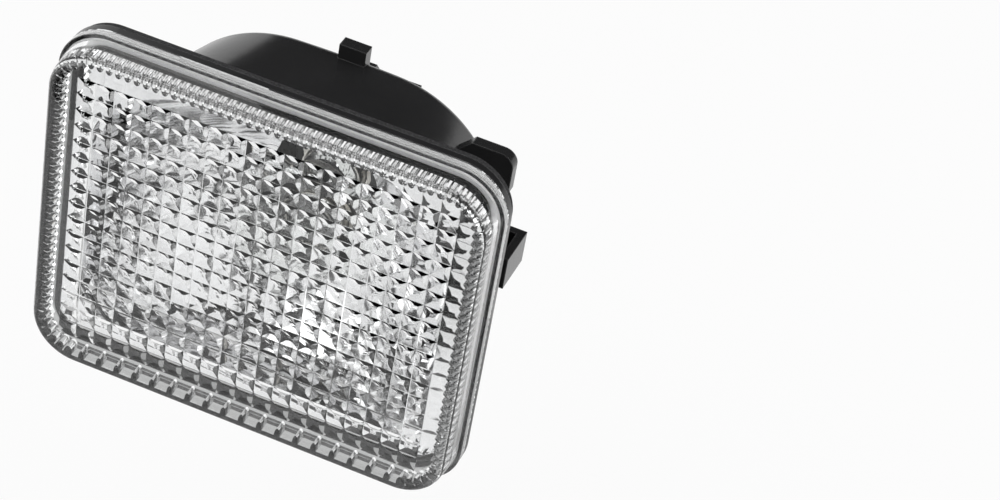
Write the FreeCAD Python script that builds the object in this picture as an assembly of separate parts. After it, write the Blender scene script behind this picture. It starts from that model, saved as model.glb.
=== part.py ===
"""Rear lamp unit with a clear prism lens, a black plug-in housing and a bayonet bulb, in millimetres.

X runs to the right and Z up as seen from in front of the lens, which faces -Y.
Y = 0 is the back face of the foam gasket, the plane that seats on the vehicle's body panel.
"""
import FreeCAD, Part
import math
import os

from FreeCAD import Vector

# Lens
lens_width = 110.0
lens_height = 92.0
lens_depth = 10.5
lens_corner_radius = 12.5
lens_wall = 2.4
lens_plate = 2.4
lens_foot_height = 2.4
lens_foot_lip = 0.7
lens_taper = 0.9
lens_edge_round = 1.6

# Prism field on the lens plate and ribs on the lens walls
cell_columns = 20
cell_rows = 17
prism_height = 0.9
prism_top = 1.7
prism_land = 0.2
field_margin = 3.4
rib_height = 1.2
rib_pitch = 2.3
rib_pitch_bottom = 4.6
corner_ribs = 6

# Stack between lens and body panel
gasket_thickness = 2.0
gasket_inset = 0.6
flange_thickness = 2.0
seal_width = 1.2
seal_height = 1.6
upstand_wall = 1.6
upstand_height = 2.4

# Housing shell
housing_wall = 2.0
housing_margin_side = 8.0
housing_margin_end = 7.5
housing_corner_bottom = 11.0
housing_corner_top = 26.0
housing_corner_growth = 4.0
housing_taper_side = 5.5
housing_taper_top = 4.0
housing_taper_bottom = 3.0
dome_radius = 210.0
dome_seam_turn = 45.0
dome_edge_round = 3.2
bulb_axis_height = 1.0

# Collar for the bulb holder
collar_radius = 21.5
collar_wall = 1.9
collar_rise = 5.0
collar_lip = 2.0
collar_base_margin = 4.0
collar_base_rise = 1.2
bayonet_lugs = 3
bayonet_lug_reach = 2.6
bayonet_lug_thickness = 2.0
bayonet_lug_angle = 24.0
bayonet_side_gap = 1.5
bayonet_turn = 40.0

# Half-moon recesses in the housing's back
recess_radius = 6.8
recess_depth = 0.9
recess_inset_side = 12.0
recess_inset_bottom = 11.0
recess_inset_top = 13.0
recess_turn = 42.0
bar_width = 3.2
bar_length = 12.0
bar_rise = 1.0

# Hooks on the housing
catch_height = 10.0
catch_width = 8.5
catch_reach = 6.3
catch_start = 8.0
catch_length = 12.0
catch_wall = 2.0
tongue_width = 10.0
tongue_reach = 0.5
tongue_length = 10.5
tongue_thickness = 3.0
tongue_round = 3.4
tongue_start = 18.5
tongue_drop = 12.0
tongue_root = 4.0
lug_width = 6.8
lug_depth = 3.4
lug_rise = 4.2
lug_place = 1.5
lug_back = 33.2

# Spring clip
clip_width = 17.0
clip_thickness = 0.7
clip_height = 2.0
clip_reach = 14.0
clip_fold_radius = 0.8
clip_nose_radius = 1.6
clip_nose_depth = 6.5
clip_hook_depth = 3.5
clip_slot_depth = 8.0
clip_gap_width = 41.0
clip_slot_inset = 5.5

# Reflector
reflector_wall = 1.2
reflector_rim = 1.0
reflector_focus = 21.0
reflector_back_gap = 3.8

# Bulb
bulb_tip_gap = 7.0
bulb_length = 52.0
bulb_radius = 12.5
bulb_glass_wall = 0.6
bulb_cap_radius = 7.5
bulb_cap_wall = 0.4
bulb_cap_length = 16.0
bulb_neck_overlap = 4.0
bulb_pin_radius = 1.0
bulb_pin_reach = 1.0
bulb_pin_place = 8.0
bulb_insulator_length = 1.5
bulb_contact_radius = 2.6
bulb_contact_rise = 1.0
light_centre_length = 31.8
stem_radius = 2.6
stem_length = 12.0
lead_radius = 0.3
lead_spacing = 6.0
filament_radius = 0.6

# Bulb holder, measured along the axis from the collar's end
sleeve_wall = 1.0
sleeve_forward = 7.5
sleeve_behind = 8.5
bulb_end_inset = 1.5
socket_wall = 2.0
spigot_wall = 2.2
spigot_forward = 5.5
holder_skirt_wall = 1.3
holder_skirt_gap = 1.3
holder_plate = 2.0
ring_seal_thickness = 2.0
ring_seal_width = 4.0
skirt_notch_width = 6.0
skirt_notch_depth = 4.0
skirt_notch_angle = 42.0
tier_wall = 1.8
tier_length = 11.0
fin_thickness = 3.4
fin_reach = 7.0
fin_rise = 3.0

# Connector
plug_gap_side = 4.5
plug_gap_end = 0.6
connector_depth = 8.5
connector_wall = 1.9
connector_floor_depth = 1.0
rail_size = 1.4
rail_length = 8.0
latch_width = 5.0
latch_rise = 1.8
blade_width = 4.8
blade_thickness = 0.8
blade_spacing = 7.8
blade_recess = 1.5
leaf_thickness = 0.5

# Clearances, and how far a cutting or joining shape runs past the face that it works on
running_clearance = 0.4
seat_clearance = 0.2
press_clearance = 0.05
weld_depth = 0.3
overrun = 1.0

# How near two points are that count as one
same_place = 0.01

# Planes across the lamp, along Y
seat_plane = 0.0
flange_back = seat_plane - gasket_thickness
flange_front = flange_back - flange_thickness
lens_front = flange_front - lens_depth
plate_inner = lens_front + lens_plate
rib_back = flange_front - upstand_height - running_clearance

# Planes of the bulb, its holder and the housing's back, along Y
bulb_tip = plate_inner + prism_land + prism_height + bulb_tip_gap
contact_end = bulb_tip + bulb_length
insulator_end = contact_end - bulb_contact_rise
cap_end = insulator_end - bulb_insulator_length
cap_front = cap_end - bulb_cap_length
neck_end = cap_front + bulb_neck_overlap
stem_head = neck_end - stem_length
pin_depth = contact_end - bulb_pin_place
filament_depth = pin_depth - light_centre_length
sleeve_end = contact_end + bulb_end_inset
collar_end = sleeve_end - sleeve_behind
sleeve_front = collar_end - sleeve_forward
lip_front = collar_end - collar_lip
plate_front = collar_end + ring_seal_thickness
ring_back = plate_front + holder_plate
tier_end = ring_back + tier_length
connector_floor = tier_end + connector_floor_depth
connector_end = tier_end + connector_depth
dome_apex = collar_end - collar_rise
reflector_apex = dome_apex - housing_wall - reflector_back_gap - reflector_wall

# Sizes across the lamp
wall_inset = lens_foot_lip + lens_wall
upstand_inset = wall_inset + seal_width
rib_inset = wall_inset + lens_taper * (flange_front - plate_inner) / lens_depth
field_inset = rib_inset + rib_height + field_margin
field_half_width = lens_width / 2 - field_inset
field_half_height = lens_height / 2 - field_inset
foot_half_width = lens_width / 2 - housing_margin_side
collar_base_radius = collar_radius + collar_base_margin
holder_ring_radius = collar_radius + running_clearance + holder_skirt_wall
tier_radius = collar_radius - collar_wall - bayonet_side_gap - bayonet_lug_reach
glass_neck = bulb_cap_radius - bulb_cap_wall - seat_clearance
sleeve_inner_radius = bulb_cap_radius + seat_clearance
sleeve_outer_radius = sleeve_inner_radius + sleeve_wall
socket_bore = sleeve_outer_radius + press_clearance
connector_width = blade_thickness + 2 * plug_gap_side + 2 * connector_wall
connector_length = blade_spacing + blade_width + 2 * plug_gap_end + 2 * connector_wall

BACK = Vector(0, 1, 0)
AXIS = Vector(0, 0, bulb_axis_height)


def place(x, y, z):
    """A point measured from the bulb's axis."""
    return Vector(x, y, bulb_axis_height + z)


def outline(half_width, bottom, top, radius_bottom, radius_top, y):
    """A closed rounded outline across the lamp at depth y."""
    corners = (
        (half_width, bottom, -1, 1, radius_bottom),
        (half_width, top, -1, -1, radius_top),
        (-half_width, top, 1, -1, radius_top),
        (-half_width, bottom, 1, 1, radius_bottom),
    )
    edges = []
    ends = []
    for index, (x, z, dx, dz, radius) in enumerate(corners):
        centre = Vector(x + dx * radius, y, z + dz * radius)
        on_side = Vector(x, y, centre.z)
        on_end = Vector(centre.x, y, z)
        bulge = radius / math.sqrt(2)
        middle = Vector(centre.x - dx * bulge, y, centre.z - dz * bulge)
        first, last = (on_end, on_side) if index % 2 == 0 else (on_side, on_end)
        edges.append(Part.Arc(first, middle, last).toShape())
        ends.append((first, last))
    joined = []
    for index, edge in enumerate(edges):
        following = ends[(index + 1) % len(ends)][0]
        joined.append(edge)
        joined.append(Part.makeLine(ends[index][1], following))
    return Part.Wire(joined)


def lens_outline(inset, y):
    """The lens's outline, drawn in by an inset."""
    half_width = lens_width / 2 - inset
    half_height = lens_height / 2 - inset
    radius = lens_corner_radius - inset
    return outline(half_width, -half_height, half_height, radius, radius, y)


def housing_outline(inset, y):
    """The housing's plan outline at depth y, drawn in by an inset."""
    share = (y - flange_back) / (dome_apex - flange_back)
    half_width = lens_width / 2 - housing_margin_side - housing_taper_side * share - inset
    bottom = housing_margin_end - lens_height / 2 + housing_taper_bottom * share + inset
    top = lens_height / 2 - housing_margin_end - housing_taper_top * share - inset
    corner_bottom = housing_corner_bottom - inset
    corner_top = housing_corner_top + housing_corner_growth * share - inset
    return outline(half_width, bottom, top, corner_bottom, corner_top, y)


def slab(wire, depth):
    """A straight solid from an outline towards the back."""
    return Part.Face(wire).extrude(BACK * depth)


def loft(*wires):
    """A ruled solid through outlines."""
    return Part.makeLoft(list(wires), True, True)


def disc(radius, front, back, centre=AXIS):
    """A cylinder along the bulb's axis."""
    return Part.makeCylinder(radius, back - front, Vector(centre.x, front, centre.z), BACK)


def tube(outer, inner, front, back):
    """A hollow cylinder along the bulb's axis."""
    return disc(outer, front, back).cut(disc(inner, front - overrun, back + overrun))


def box(x0, x1, y0, y1, z0, z1):
    """A box between limits."""
    return Part.makeBox(x1 - x0, y1 - y0, z1 - z0, Vector(x0, y0, z0))


def across_axis(half, front, back, reach):
    """A bar from the bulb's axis outwards along X, of a given half height."""
    return box(0, reach, front, back, bulb_axis_height - half, bulb_axis_height + half)


def turned(profile):
    """A solid of revolution about the bulb's axis from a closed profile in the XY plane."""
    return Part.Face(profile).revolve(AXIS, BACK, 360)


def around_axis(shape, angle):
    """A copy of a shape turned about the bulb's axis."""
    copy = shape.copy()
    copy.rotate(AXIS, BACK, angle)
    return copy


def polygon(points):
    """A closed wire through points."""
    return Part.makePolygon(list(points) + [points[0]])


def bent_path(points, radii):
    """An open wire through points with each inner corner bent to its radius."""
    edges = []
    start = points[0]
    for before, corner, after, radius in zip(points, points[1:], points[2:], radii):
        inward = (before - corner).normalize()
        onward = (after - corner).normalize()
        half_angle = inward.getAngle(onward) / 2
        setback = radius / math.tan(half_angle)
        first = corner + inward * setback
        last = corner + onward * setback
        bisector = (inward + onward).normalize()
        middle = corner + bisector * (radius / math.sin(half_angle) - radius)
        edges.append(Part.makeLine(start, first))
        edges.append(Part.Arc(first, middle, last).toShape())
        start = last
    edges.append(Part.makeLine(start, points[-1]))
    return Part.Wire(edges)


# Lens

def lens_cavity(front):
    """The space inside the lens walls, from a front plane to the flange."""
    share = (flange_front - front) / lens_depth
    narrow = lens_outline(wall_inset + lens_taper * share, front)
    return loft(narrow, lens_outline(wall_inset, flange_front))


def ridge_profile(half, count):
    """Points of a row of flat-topped ridges as (along, height) pairs, from valley to valley."""
    pitch = 2 * half / count
    slope = (pitch - prism_top) / 2
    points = [(-half, prism_land)]
    for index in range(count):
        left = index * pitch - half
        points.append((left + slope, prism_land + prism_height))
        points.append((left + slope + prism_top, prism_land + prism_height))
        points.append((left + pitch, prism_land))
    return points


def ridges(half, count, reach):
    """Ridges side by side in X, each running along Z, on the inner face of the lens plate."""
    points = [Vector(x, plate_inner + rise, -reach) for x, rise in ridge_profile(half, count)]
    points.append(Vector(half, plate_inner - weld_depth, -reach))
    points.append(Vector(-half, plate_inner - weld_depth, -reach))
    return Part.Face(polygon(points)).extrude(Vector(0, 0, 2 * reach))


def prism_field():
    """Pillow prisms: the lower of a row of ridges and a column of ridges at each point."""
    columns = ridges(field_half_width, cell_columns, field_half_height)
    rows = ridges(field_half_height, cell_rows, field_half_width)
    rows.rotate(Vector(0, 0, 0), BACK, 90)
    return columns.common(rows)


def side_rib_points(start, end, inward, pitch):
    """Valley and crest points of the ribs along one straight side."""
    count = round(start.distanceToPoint(end) / pitch)
    step = (end - start) * (1 / count)
    points = []
    for index in range(count):
        points.append(start + step * index)
        points.append(start + step * (index + 0.5) + inward * rib_height)
    return points


def corner_rib_points(centre, radius, first_angle):
    """Valley and crest points of the ribs round one corner."""
    points = []
    for index in range(2 * corner_ribs):
        angle = math.radians(first_angle + 90 * index / (2 * corner_ribs))
        reach = radius - rib_height * (index % 2)
        points.append(centre + Vector(math.cos(angle), 0, math.sin(angle)) * reach)
    return points


def wall_ribs():
    """Ribs round the inside of the lens wall, from the plate back towards the housing's upstand."""
    front = plate_inner - weld_depth
    depth = rib_back - front
    wall_x = lens_width / 2 - rib_inset
    wall_z = lens_height / 2 - rib_inset
    radius = lens_corner_radius - rib_inset
    x = wall_x - radius
    z = wall_z - radius
    sides = (
        (Vector(wall_x, front, -z), Vector(wall_x, front, z), Vector(-1, 0, 0), rib_pitch),
        (Vector(x, front, wall_z), Vector(-x, front, wall_z), Vector(0, 0, -1), rib_pitch),
        (Vector(-wall_x, front, z), Vector(-wall_x, front, -z), Vector(1, 0, 0), rib_pitch),
        (Vector(-x, front, -wall_z), Vector(x, front, -wall_z), Vector(0, 0, 1), rib_pitch_bottom),
    )
    corners = (Vector(x, front, z), Vector(-x, front, z), Vector(-x, front, -z), Vector(x, front, -z))
    points = []
    for index, (side, corner) in enumerate(zip(sides, corners)):
        points += side_rib_points(*side)
        points += corner_rib_points(corner, radius, 90 * index)
    return slab(lens_outline(rib_inset - lens_taper, front), depth).cut(slab(polygon(points), depth))


def make_lens():
    """The clear lens: a tapered tray with a foot, pillow prisms and ribbed walls."""
    foot = slab(lens_outline(0, flange_front - lens_foot_height), lens_foot_height)
    front = lens_outline(lens_foot_lip + lens_taper, lens_front)
    body = loft(front, lens_outline(lens_foot_lip, flange_front))
    rim = [edge for edge in body.Edges if edge.BoundBox.YMax < plate_inner]
    body = body.makeFillet(lens_edge_round, rim)
    tray = body.fuse(foot).cut(lens_cavity(plate_inner))
    return tray.fuse([prism_field(), wall_ribs()]).removeSplitter()


def make_lens_seal():
    """The bead of sealant between the lens wall and the housing's upstand."""
    front = flange_front - seal_height
    return lens_cavity(front).cut(slab(lens_outline(upstand_inset, front), seal_height))


# Housing

def dome(offset):
    """The ball whose back is the housing's dome, grown or shrunk by an offset."""
    centre = Vector(0, dome_apex - dome_radius, bulb_axis_height)
    ball = Part.makeSphere(dome_radius + offset, centre, BACK)
    ball.rotate(centre, BACK, dome_seam_turn)
    return ball


def housing_core(inset, front):
    """The tapered plug of the housing, closed by the dome and drawn in by an inset."""
    plug = loft(housing_outline(inset, front), housing_outline(inset, dome_apex + overrun))
    return plug.common(dome(-inset))


def dome_height(x, z):
    """How far back the dome reaches at a place across the lamp."""
    across = math.hypot(x, z - bulb_axis_height)
    return dome_apex - dome_radius + math.sqrt(dome_radius ** 2 - across ** 2)


def side_wall(y):
    """How far out the housing's side walls are at depth y."""
    return housing_outline(0, y).BoundBox.XMax


def top_wall(y):
    """How far up the housing's top wall is at depth y."""
    return housing_outline(0, y).BoundBox.ZMax


def bottom_wall(y):
    """How far down the housing's bottom wall is at depth y."""
    return housing_outline(0, y).BoundBox.ZMin


def corner_places():
    """Places of the half-moon recesses with the turn of each about Y."""
    side = side_wall(dome_apex) - recess_inset_side
    top = top_wall(dome_apex) - recess_inset_top
    bottom = bottom_wall(dome_apex) + recess_inset_bottom
    return [
        (side, top, -recess_turn),
        (-side, top, recess_turn),
        (-side, bottom, 180 - recess_turn),
        (side, bottom, 180 + recess_turn),
    ]


def half_moon(x, z, turn):
    """A shallow half-round recess on the corner side of its place."""
    round_cut = Part.makeCylinder(recess_radius, dome_apex, Vector(x, 0, z), BACK)
    half = box(x - recess_radius, x + recess_radius, 0, dome_apex, z, z + recess_radius)
    half.rotate(Vector(x, 0, z), BACK, -turn)
    return round_cut.common(half).cut(dome(-recess_depth))


def corner_bar(x, z, turn):
    """A low bar along the straight side of a half-moon recess."""
    bar = box(x - bar_length / 2, x + bar_length / 2, 0, dome_apex + bar_rise, z - bar_width, z)
    bar.rotate(Vector(x, 0, z), BACK, -turn)
    return bar.common(dome(bar_rise)).cut(dome(-housing_wall / 2))


def catch():
    """The hollow hook on the right-hand wall, open at its top."""
    back = catch_start + catch_length
    inner = side_wall(back) - housing_wall / 2
    outer = foot_half_width + catch_reach
    low = catch_height - catch_width / 2
    high = catch_height + catch_width / 2
    block = box(inner, outer, catch_start, back, low, high)
    pocket_front = catch_start + catch_wall
    pocket_back = back - catch_wall
    pocket_outer = outer - catch_wall
    pocket = box(side_wall(catch_start), pocket_outer, pocket_front, pocket_back, low + catch_wall, high)
    return block.cut(pocket)


def tongue():
    """The round-cornered tab near the top of the right-hand wall."""
    outer = foot_half_width + tongue_reach
    inner = outer - tongue_length
    high = lens_height / 2 - tongue_drop
    low = high - tongue_width
    profile = polygon([
        Vector(inner - tongue_root, tongue_start, low),
        Vector(outer, tongue_start, low),
        Vector(outer, tongue_start, high),
        Vector(inner, tongue_start, high),
        Vector(inner - tongue_root, tongue_start, high - tongue_root),
    ])
    tab = Part.Face(profile).extrude(BACK * tongue_thickness)
    middle = Vector(outer, tongue_start + tongue_thickness / 2, high)
    corner = [edge for edge in tab.Edges if edge.CenterOfMass.isEqual(middle, same_place)]
    return tab.makeFillet(tongue_round, corner)


def top_lug():
    """The small block that stands on the top wall."""
    base = top_wall(lug_back) - housing_wall
    top = top_wall(lug_back) + lug_rise
    left = lug_place - lug_width / 2
    return box(left, left + lug_width, lug_back - lug_depth, lug_back, base, top)


def bayonet_key(radius, inner, front, back, grow):
    """A sector-shaped key about the bulb's axis."""
    half = radius * math.tan(math.radians(bayonet_lug_angle / 2)) + grow
    sector = across_axis(half, front, back, 2 * radius)
    sector = sector.common(disc(radius + grow, front, back))
    return sector.cut(disc(inner, front, back)) if inner > 0 else sector


def bayonet_keys(radius, inner, front, back, grow, turn):
    """The ring of bayonet keys."""
    key = bayonet_key(radius, inner, front, back, grow)
    keys = [around_axis(key, turn + index * 360 / bayonet_lugs) for index in range(bayonet_lugs)]
    return keys[0].fuse(keys[1:])


def clip_slot_place():
    """How far to the left the clip's slot is."""
    return clip_slot_inset - side_wall(dome_apex)


def clip_slot():
    """The slot in the housing's shoulder that takes the clip's hook."""
    x = clip_slot_place()
    half = clip_thickness / 2 + seat_clearance
    tall = clip_width / 2 + running_clearance
    front = dome_apex - clip_slot_depth
    return box(x - half, x + half, front, dome_apex, clip_height - tall, clip_height + tall)


def rounded_shoulder(core):
    """The housing's plug with its edge between dome and walls rounded."""
    shoulder = []
    for edge in core.Edges:
        limits = edge.BoundBox
        if limits.YMin > seat_plane and max(limits.XLength, limits.ZLength) > limits.YLength:
            shoulder.append(edge)
    return core.makeFillet(dome_edge_round, shoulder)


def collar_base_back():
    """How far back the low step round the collar stands."""
    return dome_height(collar_base_radius, bulb_axis_height) + collar_base_rise


def make_housing():
    """The black moulded housing: flange, domed shell, collar and hooks."""
    flange = slab(lens_outline(0, flange_front), flange_thickness)
    upstand_front = flange_front - upstand_height
    upstand = slab(lens_outline(upstand_inset, upstand_front), upstand_height)
    upstand = upstand.cut(slab(lens_outline(upstand_inset + upstand_wall, upstand_front), upstand_height))
    core = rounded_shoulder(housing_core(0, flange_front))
    root = dome_apex / 2
    base = disc(collar_base_radius, root, collar_base_back())
    collar = disc(collar_radius, root, collar_end)
    bars = [corner_bar(*at) for at in corner_places()]
    outside = core.fuse([flange, upstand, base, collar, catch(), tongue(), top_lug()] + bars)
    inside = housing_core(housing_wall, flange_front)
    bore = disc(collar_radius - collar_wall, root, lip_front)
    mouth_radius = tier_radius + running_clearance
    mouth = disc(mouth_radius, root, collar_end)
    notch = bayonet_keys(mouth_radius + bayonet_lug_reach, 0, root, collar_end, running_clearance, 0)
    shell = outside.cut([inside, bore, mouth, notch])
    recesses = [half_moon(*at) for at in corner_places()]
    return shell.cut(recesses + [clip_slot()]).removeSplitter()


def make_gasket():
    """The foam gasket behind the flange, open where the clip passes."""
    ring = slab(lens_outline(gasket_inset, flange_back), gasket_thickness)
    ring = ring.cut(slab(housing_outline(-seat_clearance, flange_back), gasket_thickness))
    half = clip_gap_width / 2
    return ring.cut(box(-lens_width, 0, flange_back, seat_plane, clip_height - half, clip_height + half))


def make_clip():
    """The spring-steel clip: hooked over the shoulder, bent to a nose and back to the flange."""
    slot_x = clip_slot_place()
    crest = dome_height(slot_x, clip_height) + clip_thickness / 2 + seat_clearance
    nose_x = -(foot_half_width + clip_reach)
    foot_x = -(foot_half_width + clip_thickness / 2 + running_clearance)
    foot_y = flange_back + clip_thickness / 2 + seat_clearance
    z = clip_height - clip_width / 2
    shoulder_x = -(side_wall(dome_apex) + clip_thickness)
    points = [
        Vector(slot_x, crest - clip_hook_depth, z),
        Vector(slot_x, crest, z),
        Vector(shoulder_x, crest, z),
        Vector(nose_x, clip_nose_depth, z),
        Vector(foot_x, foot_y, z),
    ]
    path = bent_path(points, [clip_fold_radius, clip_fold_radius, clip_nose_radius])
    strip = Part.Face(path.makeOffset2D(clip_thickness / 2, 0, False, False, False))
    return strip.extrude(Vector(0, 0, clip_width))


# Reflector

def paraboloid(apex):
    """The solid in front of a parabolic bowl whose apex is at a given depth."""
    rim = math.sqrt(4 * reflector_focus * (apex - flange_front + reflector_rim))
    bottom = place(0, apex, 0)
    edge = place(rim, flange_front - reflector_rim, 0)
    front = place(0, flange_front - reflector_rim, 0)
    curve = Part.BezierCurve()
    curve.setPoles([bottom, place(rim / 2, apex, 0), edge])
    return turned(Part.Wire([curve.toShape(), Part.makeLine(edge, front), Part.makeLine(front, bottom)]))


def reflector_plug(inset, front):
    """The reflector's walls as a tapered plug inside the housing."""
    gap = housing_wall + running_clearance + inset
    return loft(housing_outline(gap, front), housing_outline(gap, dome_apex))


def make_reflector():
    """The metallised reflector: a parabolic bowl with a flat rim on the flange."""
    rim_front = flange_front - reflector_rim
    rim_inset = upstand_inset + upstand_wall + running_clearance
    rim = slab(lens_outline(rim_inset, rim_front), reflector_rim)
    outer = reflector_plug(0, rim_front).common(paraboloid(reflector_apex + reflector_wall))
    inner = reflector_plug(reflector_wall, rim_front).common(paraboloid(reflector_apex))
    hole = disc(bulb_radius + 2 * running_clearance, rim_front, dome_apex)
    return rim.fuse(outer).cut([inner, hole]).removeSplitter()


# Bulb

def glass_profile(radius, neck, tip):
    """Half section of the bulb's envelope, from its tip to the end of its neck."""
    centre = tip + radius
    waist = cap_front - bulb_neck_overlap / 2
    crown = place(0, tip, 0)
    quarter = place(radius * math.sin(math.pi / 4), centre - radius * math.cos(math.pi / 4), 0)
    widest = place(radius, centre, 0)
    shoulder = place(radius, centre + radius / 3, 0)
    at_waist = place(neck, waist, 0)
    curve = Part.BezierCurve()
    pull = (waist - shoulder.y) / 2
    curve.setPoles([shoulder, shoulder + BACK * pull, at_waist - BACK * pull, at_waist])
    foot = place(neck, neck_end, 0)
    axis_end = place(0, neck_end, 0)
    return Part.Wire([
        Part.Arc(crown, quarter, widest).toShape(),
        Part.makeLine(widest, shoulder),
        curve.toShape(),
        Part.makeLine(at_waist, foot),
        Part.makeLine(foot, axis_end),
        Part.makeLine(axis_end, crown),
    ])


def make_bulb_glass():
    """The blown glass envelope."""
    outer = turned(glass_profile(bulb_radius, glass_neck, bulb_tip))
    inner_radius = bulb_radius - bulb_glass_wall
    inner_neck = glass_neck - bulb_glass_wall
    inner = turned(glass_profile(inner_radius, inner_neck, bulb_tip + bulb_glass_wall))
    return outer.cut(inner)


def make_bulb_stem():
    """The glass stem that carries the lead wires."""
    foot = glass_neck - bulb_glass_wall - seat_clearance
    waist = cap_front - bulb_neck_overlap
    profile = [
        place(0, neck_end, 0),
        place(foot, neck_end, 0),
        place(foot, cap_front, 0),
        place(stem_radius, waist, 0),
        place(stem_radius, stem_head, 0),
        place(0, stem_head, 0),
    ]
    half_width = lead_spacing / 2 + 2 * lead_radius
    low = bulb_axis_height - stem_radius / 2
    high = bulb_axis_height + stem_radius / 2
    pinch = box(-half_width, half_width, stem_head, stem_head + bulb_neck_overlap, low, high)
    return turned(polygon(profile)).fuse(pinch).removeSplitter()


def make_bulb_lead(side):
    """A lead wire from the stem up to one end of the filament."""
    front = filament_depth - filament_radius
    return disc(lead_radius, front, stem_head, place(side * lead_spacing / 2, 0, 0))


def make_bulb_filament():
    """The coiled filament's envelope between the lead wires."""
    half = lead_spacing / 2 - lead_radius
    return Part.makeCylinder(filament_radius, 2 * half, place(-half, filament_depth, 0), Vector(1, 0, 0))


def make_bulb_cap():
    """The brass bayonet cap: a thin shell with holes for its pins and its insulator."""
    shell = tube(bulb_cap_radius, bulb_cap_radius - bulb_cap_wall, cap_front, cap_end)
    left = place(-bulb_cap_radius, pin_depth, 0)
    pin_holes = Part.makeCylinder(bulb_pin_radius, 2 * bulb_cap_radius, left, Vector(1, 0, 0))
    return shell.cut(pin_holes)


def make_bulb_pin(side):
    """One bayonet pin, set through the cap's wall."""
    inner = bulb_cap_radius - bulb_cap_wall
    length = bulb_cap_wall + bulb_pin_reach
    return Part.makeCylinder(bulb_pin_radius, length, place(side * inner, pin_depth, 0), Vector(side, 0, 0))


def make_bulb_insulator():
    """The black glass plug that closes the cap round the end contact."""
    plug = disc(bulb_cap_radius - bulb_cap_wall, cap_end - bulb_insulator_length, cap_end)
    start = place(0, cap_end, 0)
    cone = Part.makeCone(bulb_cap_radius, bulb_contact_radius, bulb_insulator_length, start, BACK)
    return plug.fuse(cone)


def make_bulb_contact():
    """The solder dome at the bulb's end."""
    rise = bulb_contact_rise
    radius = (bulb_contact_radius ** 2 + rise ** 2) / (2 * rise)
    ball = Part.makeSphere(radius, place(0, contact_end - radius, 0), BACK)
    return ball.common(disc(bulb_contact_radius, insulator_end, contact_end))


# Bulb holder

def make_socket_sleeve():
    """The brass socket sleeve with two J-slots that hold the bulb's pins."""
    sleeve = tube(sleeve_outer_radius, sleeve_inner_radius, sleeve_front, sleeve_end)
    half = bulb_pin_radius + seat_clearance
    reach = 2 * sleeve_outer_radius
    turn = math.degrees(4 * half / sleeve_outer_radius)
    entry = across_axis(half, sleeve_front, pin_depth + half, reach)
    seat = across_axis(half, pin_depth - half, pin_depth + half, reach)
    cuts = []
    for side in (0, 180):
        cuts.append(around_axis(entry, side + turn))
        cuts.append(around_axis(seat, side + turn / 2))
        cuts.append(around_axis(seat, side))
    return sleeve.cut(cuts)


def connector_block():
    """The connector shroud with its side rails, far plate and latch ramp."""
    half_x = connector_width / 2
    low = bulb_axis_height - connector_length / 2
    high = bulb_axis_height + connector_length / 2
    root = tier_end - tier_wall / 2
    block = box(-half_x, half_x, root, connector_end, low, high)
    rail_back = connector_end - rail_size
    rail_low = high - rail_length
    rail_reach = half_x + rail_size
    rails = box(-rail_reach, rail_reach, connector_floor, rail_back, rail_low, high - rail_size)
    plate = box(-rail_reach, rail_reach, connector_floor, connector_end, high - rail_size, high)
    ramp = polygon([
        Vector(-latch_width / 2, root, low),
        Vector(-latch_width / 2, connector_end - connector_wall, low),
        Vector(-latch_width / 2, connector_floor + connector_wall, low - latch_rise),
        Vector(-latch_width / 2, root, low - latch_rise),
    ])
    latch = Part.Face(ramp).extrude(Vector(latch_width, 0, 0))
    return block.fuse([rails, plate, latch])


def connector_cavity():
    """The space inside the connector shroud for the mating plug."""
    half_x = connector_width / 2 - connector_wall
    half_z = connector_length / 2 - connector_wall
    low, high = bulb_axis_height - half_z, bulb_axis_height + half_z
    return box(-half_x, half_x, connector_floor, connector_end, low, high)


def fin(side):
    """A grip fin on the holder's ring, from the tier's wall to the ring's rim."""
    inner = tier_radius - tier_wall
    outer = tier_radius + fin_reach
    profile = polygon([
        place(-fin_thickness / 2, ring_back - holder_plate / 2, side * inner),
        place(-fin_thickness / 2, ring_back - holder_plate / 2, side * outer),
        place(-fin_thickness / 2, ring_back + fin_rise, side * outer),
        place(-fin_thickness / 2, ring_back + 2 * fin_rise, side * (tier_radius + fin_reach / 2)),
        place(-fin_thickness / 2, tier_end, side * tier_radius),
        place(-fin_thickness / 2, tier_end, side * inner),
    ])
    return Part.Face(profile).extrude(Vector(fin_thickness, 0, 0))


def blade_slot(side):
    """The slot that a blade passes through in the connector's floor."""
    half = blade_thickness / 2 + seat_clearance
    middle = bulb_axis_height + side * blade_spacing / 2
    tall = blade_width / 2 + seat_clearance
    return box(-half, half, tier_end - tier_wall, connector_floor, middle - tall, middle + tall)


def skirt_notches():
    """Finger notches in the rim of the holder's ring, two beside each fin."""
    front = ring_back - skirt_notch_depth
    notch = across_axis(skirt_notch_width / 2, front, ring_back, 2 * holder_ring_radius)
    notch = notch.cut(disc(collar_radius, front, ring_back))
    notches = []
    for fin_angle in (90, -90):
        for side in (1, -1):
            notches.append(around_axis(notch, fin_angle + side * skirt_notch_angle))
    return notches


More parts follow.
